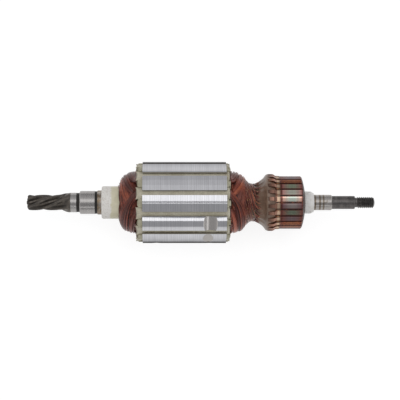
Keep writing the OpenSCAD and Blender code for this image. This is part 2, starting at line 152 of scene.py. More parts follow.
def grid_faces(rows, columns):
    """Quads between rings of points that follow each other."""
    row = np.arange(rows - 1)[:, None]
    column = np.arange(columns)[None, :]
    after = (column + 1) % columns
    here = row * columns
    beyond = here + columns
    quads = np.stack([here + column, here + after, beyond + after, beyond + column], axis=-1)
    return quads.reshape(-1, 4)


def closing_faces(rows, columns):
    """Quads that join the last ring of a grid to its first ring."""
    column = np.arange(columns)
    after = (column + 1) % columns
    last = (rows - 1) * columns
    return np.stack([last + after, last + column, column, after], axis=-1)


def tube_along(path, radius, sides):
    """Points and faces of a closed tube along a path of points in metres."""
    path = np.asarray(path)
    tangent = np.gradient(path, axis=0)
    tangent /= np.linalg.norm(tangent, axis=1)[:, None]
    # The first normal is square to the shaft, or to Z where the tube runs along the shaft.
    normal = np.cross(tangent, [1.0, 0.0, 0.0])
    flat = np.cross(tangent, [0.0, 0.0, 1.0])
    along_shaft = np.linalg.norm(normal, axis=1) < 0.2
    normal[along_shaft] = flat[along_shaft]
    normal /= np.linalg.norm(normal, axis=1)[:, None]
    for i in range(1, len(path)):
        moved = normal[i - 1] - tangent[i] * np.dot(normal[i - 1], tangent[i])
        normal[i] = moved / np.linalg.norm(moved)
    side = np.cross(tangent, normal)
    turn = np.linspace(0, 2 * np.pi, sides, endpoint=False)[None, :, None]
    ring = normal[:, None, :] * np.cos(turn) + side[:, None, :] * np.sin(turn)
    points = (path[:, None, :] + ring * radius).reshape(-1, 3)
    faces = [tuple(f) for f in grid_faces(len(path), sides)]
    faces.append(tuple(range(sides - 1, -1, -1)))
    faces.append(tuple(range((len(path) - 1) * sides, len(path) * sides)))
    return points, faces


def slot_half(radius, inset):
    """Half the width of a slot between parallel-sided teeth, with its walls moved in by inset."""
    half_step = math.radians(SLOT_STEP / 2)
    return radius * math.tan(half_step) - (TOOTH_W / 2 + inset) / math.cos(half_step)


def ring_at(stations, outline, angle):
    """Closed ring of points from (radius, across) rows at one station or at one station a row."""
    a = math.radians(angle + REST_TURN)
    radius, across = np.asarray(outline, dtype=float).T
    y = radius * math.cos(a) - across * math.sin(a)
    z = radius * math.sin(a) + across * math.cos(a)
    return np.stack([stations + 0 * radius, y, z], axis=-1) * MM


def loft(rings):
    """Points and faces of a closed solid through rings with equally many points."""
    columns = len(rings[0])
    faces = [tuple(f) for f in grid_faces(len(rings), columns)[:, ::-1]]
    first = (len(rings) - 1) * columns
    faces.append(tuple(range(columns)))
    faces.append(tuple(range(first + columns - 1, first - 1, -1)))
    return np.concatenate(rings), faces


class Bundle:
    """Gathers many solids or wires into one mesh, with a tone for each of them."""

    def __init__(self):
        self.points, self.faces, self.tones, self.count = [], [], [], 0

    def add(self, points, faces, tone=0.5):
        """Adds one solid, with a tone between 0 and 1 that its material may read."""
        self.points.append(points)
        self.faces.extend(tuple(i + self.count for i in f) for f in faces)
        self.tones.append(np.full(len(points), tone))
        self.count += len(points)

    def finish(self, name, slot, material, replaced, sharp_angle=80):
        """Makes the piece of all that was added."""
        points = np.concatenate(self.points)
        piece = make_piece(name, points, self.faces, [material], replaced, sharp_angle)
        tone = piece.data.attributes.new("wire_tone", "FLOAT", "POINT")
        tone.data.foreach_set("value", np.concatenate(self.tones).astype(np.float32))


# ---------------------------------------------------------------- shader helpers
class Wiring:
    """Adds and links nodes in one node tree."""

    def __init__(self, tree):
        self.tree = tree

    def node(self, kind, settings=None, **inputs):
        """Adds a node. An input goes by its name, or by its number as _0 and _1."""
        made = self.tree.nodes.new(kind)
        for key, value in (settings or {}).items():
            setattr(made, key, value)
        for key, value in inputs.items():
            self.feed(made.inputs[int(key[1:])] if key[0] == "_" else made.inputs[key], value)
        return made

    def feed(self, socket, value):
        """Links a socket to another one, or sets it to a constant."""
        if isinstance(value, bpy.types.NodeSocket):
            self.tree.links.new(value, socket)
        else:
            socket.default_value = value

    def math(self, operation, a, b=0.0, clamp=False):
        """Value of one operation on a and b."""
        settings = {"operation": operation, "use_clamp": clamp}
        return self.node("ShaderNodeMath", settings, _0=a, _1=b).outputs[0]

    def sway(self, wave, depth):
        """A factor of 1 that sways by depth with a wave between -1 and 1."""
        return self.math("ADD", self.math("MULTIPLY", wave, depth), 1.0)

    def mix(self, share, a, b):
        """Colour a where share is 0 and colour b where it is 1."""
        made = self.tree.nodes.new("ShaderNodeMix")
        made.data_type = "RGBA"
        self.feed(made.inputs["Factor"], share)
        self.feed(made.inputs["A"], a)
        self.feed(made.inputs["B"], b)
        return made.outputs["Result"]

    def ramp(self, value, stops):
        """Colour ramp from (position, colour) stops."""
        made = self.tree.nodes.new("ShaderNodeValToRGB")
        elements = made.color_ramp.elements
        while len(elements) < len(stops):
            elements.new(0.5)
        for element, (place, colour) in zip(elements, stops):
            element.position = place
            element.color = colour
        self.feed(made.inputs["Fac"], value)
        return made.outputs["Color"]

    def range(self, value, low, high, to_low=0.0, to_high=1.0):
        """Smooth step from to_low where value is low to to_high where it is high."""
        made = self.tree.nodes.new("ShaderNodeMapRange")
        made.interpolation_type = "SMOOTHSTEP"
        self.feed(made.inputs["Value"], value)
        self.feed(made.inputs["From Min"], low)
        self.feed(made.inputs["From Max"], high)
        self.feed(made.inputs["To Min"], to_low)
        self.feed(made.inputs["To Max"], to_high)
        return made.outputs["Result"]

    def place(self):
        """The place on the armature in millimetres, as a vector."""
        coordinates = self.tree.nodes.new("ShaderNodeTexCoord").outputs["Object"]
        scaled = self.node("ShaderNodeVectorMath", {"operation": "SCALE"}, Vector=coordinates, Scale=1 / MM)
        return scaled.outputs["Vector"]

    def parts(self, vector):
        """X, Y and Z of a vector."""
        return self.node("ShaderNodeSeparateXYZ", Vector=vector).outputs

    def noise(self, vector, scale, detail, stretch=(1.0, 1.0, 1.0)):
        """Noise value about 0.5; a stretch under 1 draws it out along that axis."""
        moved = self.node("ShaderNodeVectorMath", {"operation": "MULTIPLY"}, _0=vector, _1=stretch).outputs[0]
        made = self.node("ShaderNodeTexNoise", Vector=moved, Scale=scale, Detail=detail)
        return made.outputs["Fac"]


def make_group(name, inputs, outputs):
    """An empty shader node group with float inputs from (name, value) rows and named float outputs."""
    group = bpy.data.node_groups.new(name, "ShaderNodeTree")
    for label, value in inputs:
        socket = group.interface.new_socket(label, in_out="INPUT", socket_type="NodeSocketFloat")
        socket.default_value = value
    for label in outputs:
        group.interface.new_socket(label, in_out="OUTPUT", socket_type="NodeSocketFloat")
    given = group.nodes.new("NodeGroupInput").outputs
    out = group.nodes.new("NodeGroupOutput").inputs
    return group, Wiring(group), given, out


def lathe_lines_group():
    """Fine rings left by turning or by a stack of sheets: varies along X and hardly across it."""
    group, w, given, out = make_group(
        "lathe lines", [("Lines per mm", 3.0), ("Contrast", 0.2)], ["Shade", "Height"])
    place = w.place()
    fine = w.noise(place, given["Lines per mm"], 1.0, (1.0, 0.012, 0.012))
    coarse = w.noise(place, w.math("MULTIPLY", given["Lines per mm"], 0.3), 2.0, (1.0, 0.03, 0.03))
    lines = w.math("ADD", w.math("MULTIPLY", fine, 0.6), w.math("MULTIPLY", coarse, 0.4))
    spread = w.range(lines, 0.36, 0.64, -1.0, 1.0)
    w.feed(out["Height"], spread)
    w.feed(out["Shade"], w.sway(spread, given["Contrast"]))
    return group


def patches_group():
    """Soft-edged irregular patches, for varnish, dirt and wear, and a finer grain."""
    group, w, given, out = make_group(
        "patches", [("Patches per mm", 0.3), ("Amount", 0.5), ("Softness", 0.08)], ["Mask", "Grain"])
    place = w.place()
    field = w.noise(place, given["Patches per mm"], 4.0)
    level = w.math("SUBTRACT", 0.8, w.math("MULTIPLY", given["Amount"], 0.6))
    low = w.math("SUBTRACT", level, given["Softness"])
    high = w.math("ADD", level, given["Softness"])
    w.feed(out["Mask"], w.range(field, low, high))
    w.feed(out["Grain"], w.noise(place, w.math("MULTIPLY", given["Patches per mm"], 14.0), 3.0))
    return group


def along_group():
    """Share of the way from one station to another along X, and the angle about the shaft in radians."""
    group, w, given, out = make_group(
        "along the shaft", [("From mm", 0.0), ("To mm", 1.0)], ["Share", "Turn"])
    x, y, z = w.parts(w.place())
    length = w.math("SUBTRACT", given["To mm"], given["From mm"])
    w.feed(out["Share"], w.math("DIVIDE", w.math("SUBTRACT", x, given["From mm"]), length, True))
    w.feed(out["Turn"], w.math("ARCTAN2", z, y))
    return group


LATHE_LINES = lathe_lines_group()
PATCHES = patches_group()
ALONG = along_group()


class Finish(Wiring):
    """One material: a Principled shader with the nodes that feed it."""

    def __init__(self, name, colour, roughness, metallic=0.0, coat=0.0, coat_roughness=0.1, specular=0.5):
        self.material = bpy.data.materials.new(name)
        self.material.use_nodes = True
        super().__init__(self.material.node_tree)
        self.shader = self.tree.nodes["Principled BSDF"]
        self.set("Base Color", rgba(*colour))
        self.set("Roughness", roughness)
        self.set("Metallic", metallic)
        self.set("Coat Weight", coat)
        self.set("Coat Roughness", coat_roughness)
        self.set("Specular IOR Level", specular)

    def set(self, key, value):
        """Sets or links an input of the shader."""
        self.feed(self.shader.inputs[key], value)

    def group(self, group, **inputs):
        """Outputs of a node group, whose inputs are named with _ for each space."""
        made = self.tree.nodes.new("ShaderNodeGroup")
        made.node_tree = group
        for key, value in inputs.items():
            self.feed(made.inputs[key.replace("_", " ")], value)
        return made.outputs

    def shade(self, colour, factor):
        """A colour multiplied by a value."""
        made = self.node("ShaderNodeVectorMath", {"operation": "SCALE"}, Vector=colour, Scale=factor)
        return made.outputs["Vector"]

    def bump(self, height, depth):
        """Bump of a height between 0 and 1, or -1 and 1, with a depth in millimetres."""
        made = self.node("ShaderNodeBump", Height=height, Strength=1.0, Distance=depth * MM)
        self.set("Normal", made.outputs["Normal"])


def rgba(r, g, b):
    """An opaque colour."""
    return (r, g, b, 1.0)


# ---------------------------------------------------------------- finishes
VARNISH_FILTER = (0.45, 0.38, 0.3)
SHEET_PITCH = 0.93
MILLED_BELOW = 0.02
FRAME_TINT = (0.10, 0.035, 0.03)
SPATTER = (0.70, 0.24, 0.07)


def ground_steel(name, colour, roughness, contrast, lines_per_mm, stain_amount=0.0, bands=()):
    """Ground or turned steel, with brown varnish in patches and in bands along the shaft."""
    finish = Finish(name, colour, roughness, metallic=1.0)
    lines = finish.group(LATHE_LINES, Lines_per_mm=lines_per_mm, Contrast=contrast)
    patches = finish.group(PATCHES, Patches_per_mm=0.35, Amount=stain_amount, Softness=0.12)
    tone = finish.shade(colour, lines["Shade"])
    varnish = tuple(part * passed for part, passed in zip(colour, VARNISH_FILTER))
    stain = finish.shade(varnish, lines["Shade"])
    stained = patches["Mask"]
    for from_mm, to_mm in bands:
        share = finish.group(ALONG, From_mm=from_mm, To_mm=to_mm)["Share"]
        band = finish.math("MULTIPLY", finish.range(share, 0.0, 0.25), finish.range(share, 1.0, 0.75))
        stained = finish.math("MAXIMUM", stained, band)
    finish.set("Base Color", finish.mix(stained, tone, stain))
    finish.set("Roughness", finish.range(patches["Grain"], 0.3, 0.7, roughness * 0.85, roughness * 1.15))
    finish.bump(lines["Height"], 0.0008)
    return finish.material


def pinion_steel():
    """Hardened gear steel, grey-brown and slightly oily."""
    finish = Finish("hardened_pinion_steel", (0.13, 0.115, 0.10), 0.42, metallic=0.9)
    patches = finish.group(PATCHES, Patches_per_mm=0.45, Amount=0.5, Softness=0.2)
    grain = finish.range(patches["Grain"], 0.35, 0.65)
    tone = finish.mix(patches["Mask"], rgba(0.085, 0.077, 0.069), rgba(0.15, 0.13, 0.11))
    finish.set("Base Color", finish.mix(finish.math("MULTIPLY", grain, 0.5), tone, rgba(0.06, 0.055, 0.05)))
    finish.set("Roughness", finish.range(patches["Grain"], 0.3, 0.7, 0.34, 0.55))
    finish.bump(patches["Grain"], 0.006)
    return finish.material


def oxide_steel():
    """Blackened steel of the reduced end and the thread, with turning lines."""
    finish = Finish("black_oxide_steel", (0.10, 0.095, 0.092), 0.38, metallic=0.9)
    lines = finish.group(LATHE_LINES, Lines_per_mm=4.0, Contrast=0.25)
    patches = finish.group(PATCHES, Patches_per_mm=0.5, Amount=0.45, Softness=0.2)
    tone = finish.mix(patches["Mask"], rgba(0.085, 0.08, 0.078), rgba(0.13, 0.12, 0.115))
    finish.set("Base Color", finish.shade(tone, lines["Shade"]))
    finish.bump(lines["Height"], 0.004)
    return finish.material


def groove_shade_steel():
    """Steel at the bottom of the relief grooves, painted nearly black as painted shade, and dull."""
    colour = (0.03, 0.028, 0.026)
    finish = Finish("groove_shadow_steel", colour, 0.6, metallic=0.6)
    lines = finish.group(LATHE_LINES, Lines_per_mm=5.0, Contrast=0.3)
    finish.set("Base Color", finish.shade(colour, lines["Shade"]))
    return finish.material


def lamination_steel():
    """Turned stack of electrical steel sheets, with coarser milled balance notches."""
    finish = Finish("turned_laminations", (0.52, 0.52, 0.54), 0.12, metallic=1.0)
    place = finish.place()
    x, y, z = finish.parts(place)
    wander = finish.math("MULTIPLY", finish.noise(place, 0.25, 1.0, (1.0, 0.1, 0.1)), 14.0)
    even = finish.math("MULTIPLY", x, 2 * math.pi / SHEET_PITCH)
    sheets = finish.math("SINE", finish.math("ADD", even, wander))
    lines = finish.group(LATHE_LINES, Lines_per_mm=2.4, Contrast=0.05)
    patches = finish.group(PATCHES, Patches_per_mm=0.12, Amount=0.4, Softness=0.25)
    tone = finish.mix(patches["Mask"], rgba(0.49, 0.49, 0.51), rgba(0.54, 0.54, 0.56))
    tone = finish.shade(finish.shade(tone, lines["Shade"]), finish.sway(sheets, 0.05))
    squares = finish.math("ADD", finish.math("MULTIPLY", y, y), finish.math("MULTIPLY", z, z))
    milled = finish.range(finish.math("SQRT", squares), CORE_R - MILLED_BELOW, CORE_R - 3 * MILLED_BELOW)
    finish.set("Base Color", finish.mix(milled, tone, rgba(0.42, 0.40, 0.385)))
    finish.set("Roughness", finish.range(milled, 0.0, 1.0, 0.08, 0.2))
    finish.set("Specular Tint", rgba(0.4, 0.4, 0.4))
    finish.bump(finish.math("ADD", finish.math("MULTIPLY", lines["Height"], 0.4), sheets), 0.0012)
    return finish.material


def fibre(name, pale, dark, patches_per_mm=0.3):
    """Varnished insulating fibre or paper."""
    finish = Finish(name, pale, 0.6, coat=0.15, coat_roughness=0.3)
    patches = finish.group(PATCHES, Patches_per_mm=patches_per_mm, Amount=0.5, Softness=0.2)
    grain = finish.range(patches["Grain"], 0.3, 0.7, 0.82, 1.12)
    tone = finish.mix(patches["Mask"], rgba(*pale), rgba(*dark))
    finish.set("Base Color", finish.shade(tone, grain))
    finish.bump(patches["Grain"], 0.03)
    return finish.material


def sleeve_plastic():
    """White moulded sleeve: pale speckle, and amber varnish that crept out of the winding."""
    finish = Finish("white_sleeve", (0.80, 0.78, 0.74), 0.55, specular=0.4)
    along = finish.group(ALONG, From_mm=SLEEVE_LEFT, To_mm=SLEEVE_LEFT + SLEEVE_SHOWN)
    patches = finish.group(PATCHES, Patches_per_mm=0.2, Amount=0.5, Softness=0.1)
    speckle = finish.range(patches["Grain"], 0.52, 0.6)
    white = finish.mix(speckle, rgba(0.84, 0.82, 0.78), rgba(0.60, 0.56, 0.50))
    edge = finish.math("ADD", along["Share"], finish.math("MULTIPLY", patches["Mask"], 0.12))
    varnished = finish.range(edge, 0.55, 0.66)
    amber = finish.mix(patches["Mask"], rgba(0.68, 0.64, 0.48), rgba(0.60, 0.56, 0.40))
    finish.set("Base Color", finish.mix(varnished, white, amber))
    finish.set("Roughness", finish.range(varnished, 0.0, 1.0, 0.6, 0.35))
    finish.bump(patches["Grain"], 0.02)
    return finish.material


def collar_plastic():
    """White moulded collar with faint grey patches."""
    finish = Finish("white_collar", (0.8, 0.79, 0.77), 0.5)
    patches = finish.group(PATCHES, Patches_per_mm=0.5, Amount=0.4, Softness=0.15)
    finish.set("Base Color", finish.mix(patches["Mask"], rgba(0.80, 0.79, 0.77), rgba(0.68, 0.66, 0.62)))
    finish.bump(patches["Grain"], 0.015)
    return finish.material


def magnet_wire(name, tones, speck, speck_level, varnish):
    """Enamelled copper under baked varnish.

    Each wire has its own tone among the four given, with darker soaked patches and specks of wear.
    """
    finish = Finish(name, tones[1], 0.34, metallic=0.4, coat=varnish, coat_roughness=0.2)
    tone = finish.node("ShaderNodeAttribute", {"attribute_name": "wire_tone"}).outputs["Fac"]
    patches = finish.group(PATCHES, Patches_per_mm=0.16, Amount=0.5, Softness=0.16)
    stops = [(place, rgba(*colour)) for place, colour in zip((0.0, 0.4, 0.75, 1.0), tones)]
    wires = finish.ramp(tone, stops)
    soaked = finish.mix(finish.math("MULTIPLY", patches["Mask"], 0.55), wires, rgba(0.085, 0.04, 0.034))
    worn = finish.range(patches["Grain"], speck_level, speck_level + 0.05)
    finish.set("Base Color", finish.mix(worn, soaked, rgba(*speck)))
    finish.set("Roughness", finish.range(patches["Grain"], 0.3, 0.7, 0.24, 0.45))
    return finish.material


def lead_resin():
    """Brown trickled resin over the leads."""
    finish = Finish("trickled_resin", (0.17, 0.12, 0.08), 0.42, coat=0.3, coat_roughness=0.25)
    patches = finish.group(PATCHES, Patches_per_mm=0.22, Amount=0.5, Softness=0.2)
    tone = finish.mix(patches["Mask"], rgba(0.132, 0.08, 0.052), rgba(0.205, 0.13, 0.088))
    grain = finish.range(patches["Grain"], 0.3, 0.7, 0.82, 1.18)
    finish.set("Base Color", finish.shade(tone, grain))
    finish.bump(patches["Grain"], 0.06)
    return finish.material


def bar_copper(name, centre, ends, roughness, spatter_level=0.7, painted_sheen=1.25):
    """Heat-tinted commutator copper: a dull hook with a painted highlight at its foot, then a tinted window
    in a dark frame.

    The side of the track towards +Y, the main lamp's side, is brightened by the sheen factor as a painted
    highlight, and the rest is darkened as painted shade.
    """
    finish = Finish(name, centre, roughness, metallic=1.0)
    along = finish.group(ALONG, From_mm=BAR_LEFT, To_mm=BAR_RIGHT)
    patches = finish.group(PATCHES, Patches_per_mm=0.6, Amount=0.45, Softness=0.2)
    lines = finish.group(LATHE_LINES, Lines_per_mm=3.0, Contrast=0.08)
    shift = finish.math("MULTIPLY", finish.math("SUBTRACT", patches["Grain"], 0.5), 0.07)
    shifted = finish.math("ADD", along["Share"], shift)
    between = [(c + e) / 2 for c, e in zip(centre, ends)]
    # The cream stops near the hook's foot are a painted highlight on the dull pink-brown copper.
    hook = [
        (0.0, (0.10, 0.06, 0.045)), (0.12, (0.22, 0.12, 0.09)), (0.2, (0.36, 0.19, 0.14)),
        (0.26, (0.34, 0.19, 0.14)), (0.29, (0.56, 0.41, 0.29)), (0.335, (0.46, 0.33, 0.24))]
    track = [
        (0.375, FRAME_TINT), (0.40, FRAME_TINT), (0.44, ends), (0.52, between), (0.62, centre),
        (0.76, centre), (0.87, between), (0.94, ends), (0.985, FRAME_TINT)]
    tint = finish.ramp(shifted, [(place, rgba(*colour)) for place, colour in hook + track])
    # Share of the way across the bar, and the distance from its middle.
    turn = finish.math("MULTIPLY", along["Turn"], 180 / math.pi / BAR_STEP)
    across = finish.math("FRACT", finish.math("SUBTRACT", turn, (90 + REST_TURN) / BAR_STEP))
    aside = finish.math("ABSOLUTE", finish.math("SUBTRACT", across, 0.5))
    on_track = finish.range(along["Share"], 0.36, 0.37)
    edge = finish.math("MULTIPLY", finish.range(finish.math("ADD", aside, shift), 0.31, 0.36), on_track)
    # Painted highlight on the side of the track towards +Y, painted shade on the rest.
    painted_bright_side = finish.math("MULTIPLY", finish.range(across, 0.42, 0.22), on_track)
    painted_light_and_shade = finish.mix(painted_bright_side, finish.shade(tint, 0.88), finish.shade(tint, painted_sheen))
    framed = finish.mix(finish.math("MULTIPLY", edge, 0.85), painted_light_and_shade, rgba(*FRAME_TINT))
    spots = finish.range(patches["Grain"], spatter_level, spatter_level + 0.04)
    finish.set("Base Color", finish.shade(finish.mix(spots, framed, rgba(*SPATTER)), lines["Shade"]))
    finish.bump(lines["Height"], 0.0015)
    return finish.material


def phenolic(name, colour, fleck):
    """Moulded resin or mica, with small flecks of another colour."""
    finish = Finish(name, colour, 0.5)
    patches = finish.group(PATCHES, Patches_per_mm=0.8, Amount=0.35, Softness=0.1)
    finish.set("Base Color", finish.mix(patches["Mask"], rgba(*colour), rgba(*fleck)))
    finish.bump(patches["Grain"], 0.03)
    return finish.material


GROUND = ground_steel("ground_seat_steel", (0.325, 0.312, 0.305), 0.26, 0.06, 3.0)
LAND = ground_steel("ground_land_steel", (0.33, 0.32, 0.315), 0.28, 0.06, 3.0)
SHOULDER = ground_steel("varnish_blotched_steel", (0.40, 0.36, 0.32), 0.3, 0.1, 3.0, stain_amount=0.6)
STAIN_BANDS = ((-0.2, 0.9), (2.3, 3.4), (4.3, 5.2))
SEAT_BANDS = [(SMALL_SEAT_LEFT + start, SMALL_SEAT_LEFT + end) for start, end in STAIN_BANDS]
SMALL_SEAT = ground_steel("varnished_seat_steel", (0.33, 0.312, 0.298), 0.28, 0.1, 2.0, 0.2, SEAT_BANDS)
PINION = pinion_steel()
OXIDE = oxide_steel()
GROOVE_SHADE_STEEL = groove_shade_steel()
WIRE_TONES = [(0.016, 0.008, 0.009), (0.145, 0.032, 0.022), (0.26, 0.055, 0.029), (0.40, 0.10, 0.045)]
LEAD_TONES = [(0.05, 0.015, 0.012), (0.15, 0.034, 0.022), (0.24, 0.052, 0.026), (0.34, 0.085, 0.035)]
WIRE = magnet_wire("enamelled_wire", WIRE_TONES, (0.36, 0.10, 0.04), 0.74, 0.22)
LEAD_WIRE = magnet_wire("enamelled_leads", LEAD_TONES, (0.62, 0.40, 0.20), 0.62, 0.45)
RESIN = lead_resin()
INSULATOR = fibre("end_insulator_fibre", (0.45, 0.43, 0.31), (0.34, 0.31, 0.21))
PAPER = fibre("slot_liner_paper", (0.40, 0.37, 0.27), (0.24, 0.21, 0.14))
WEDGE = fibre("slot_wedge_fibre", (0.56, 0.525, 0.41), (0.44, 0.40, 0.29), 0.15)
SLEEVE = sleeve_plastic()
COLLAR = collar_plastic()
TUBE = fibre("moulded_tube", (0.62, 0.58, 0.46), (0.52, 0.47, 0.34))
MOULDING = phenolic("commutator_phenolic", (0.055, 0.03, 0.025), (0.085, 0.045, 0.035))
MICA = phenolic("separator_mica", (0.06, 0.03, 0.022), (0.42, 0.10, 0.03))
CORE = lamination_steel()
# The cream bars take the strongest painted highlight, with a sheen factor of 2.1.
CREAM_WITH_HIGHLIGHT = bar_copper("bar_cream", (0.27, 0.30, 0.265), (0.40, 0.24, 0.19), 0.26, painted_sheen=2.1)
ROSE = bar_copper("bar_rose", (0.33, 0.33, 0.28), (0.42, 0.22, 0.20), 0.28)
GREEN = bar_copper("bar_green", (0.21, 0.245, 0.18), (0.30, 0.13, 0.12), 0.3, 0.66)
SAGE = bar_copper("bar_sage", (0.10, 0.12, 0.09), (0.15, 0.07, 0.06), 0.32, 0.66)
PLUM = bar_copper("bar_plum", (0.28, 0.24, 0.23), (0.22, 0.12, 0.13), 0.32, 0.66)
SLATE = bar_copper("bar_slate", (0.125, 0.088, 0.094), (0.15, 0.062, 0.052), 0.32)
EMBER = bar_copper("bar_ember", (0.17, 0.065, 0.034), (0.15, 0.045, 0.025), 0.34, 0.62)


# ---------------------------------------------------------------- shaft
SIDES = 150
TIP_LEN = 0.5
PINION_R = 4.0
PINION_TEETH = 5
PINION_LEAD = 47.0
FIRST_TOOTH_TURN = 62
TOOTH_H = 1.8
CREST_SHARE = 0.2
FLANK_SHARE = 0.5
LEAD_IN_LEN = 0.8
LEAD_IN_DEPTH = 0.45
FLARE_LEN = 6.6
LAND_LEFT, LAND_RIGHT = -8.6, -5.4
LAND_R = 5.075
SEAT_LEFT, SEAT_RIGHT = -3.9, 3.9
SEAT_R = 6.0
RELIEF_R = 5.8
SHOULDER_LEFT, SHOULDER_RIGHT = 5.2, 7.4
SHOULDER_R = 6.25
JOURNAL_R = 5.25
COLLAR_BORE_R = 4.4
SMALL_SEAT_R = 4.0
STUB_LEN = 12
STUB_R = 3.4
THREAD_LEN = 10
THREAD_NECK_R = 2.5
THREAD_ROOT_R, THREAD_CREST_R = 2.42, 2.98
THREAD_PITCH = 1.0
CHAMFER = 0.15
SEAT_CHAMFER = 0.4
STUB_CHAMFER = 0.2
PINION_ZONE, LAND_ZONE, SEAT_ZONE, GROOVE_SHADE_ZONE, SHOULDER_ZONE, SMALL_SEAT_ZONE, OXIDE_ZONE = range(7)
# The grooves' zone takes the nearly black steel that stands in for shade: painted shade.
ZONE_STEELS = [PINION, LAND, GROUND, GROOVE_SHADE_STEEL, SHOULDER, SMALL_SEAT, OXIDE]


def smooth(t):
    """Smooth step from 0 to 1 as t goes from 0 to 1."""
    t = np.clip(t, 0.0, 1.0)
    return t * t * (3 - 2 * t)


def follow(t, rows):
    """Value at t on straight lines between (t, value) rows."""
    return np.interp(t, *zip(*rows))


def pinion_radius(x, angle, tip):
    """Radius of the helical teeth, which run out in a flare up to the land."""
    flare = x - (LAND_LEFT - FLARE_LEN)
    envelope = PINION_R + (LAND_R - PINION_R) * smooth(flare / (FLARE_LEN - 0.6))
    lead_in = LEAD_IN_DEPTH * (1 - smooth((x - tip) / LEAD_IN_LEN))
    turn = (angle + 360 * (x - tip) / PINION_LEAD - FIRST_TOOTH_TURN) / (360 / PINION_TEETH)
    from_crest = np.abs((turn + 0.5) % 1.0 - 0.5) * 2
    space = smooth((from_crest - CREST_SHARE) / FLANK_SHARE)
    depth = TOOTH_H * (1 - smooth(flare / FLARE_LEN * 0.92))
    return envelope - lead_in - depth * space * (1 - smooth(flare / FLARE_LEN) * 0.1)


def thread_radius(x, angle, start):
    """Radius of the thread, which fades in at its start and is chamfered at the shaft's end."""
    ends = smooth((x - start) / 0.8) * smooth((SHAFT_RIGHT - x) / 1.4)
    phase = (angle / 360 + x / THREAD_PITCH) % 1.0
    valley = np.clip(np.abs(phase - 0.5) * 2.6 - 0.15, 0, 1)
    height = (THREAD_CREST_R - THREAD_ROOT_R) * (1 - valley) * np.clip(ends * 1.4, 0, 1)
    end_chamfer = 0.25 * (1 - smooth(SHAFT_RIGHT - x))
    return THREAD_ROOT_R + height - end_chamfer


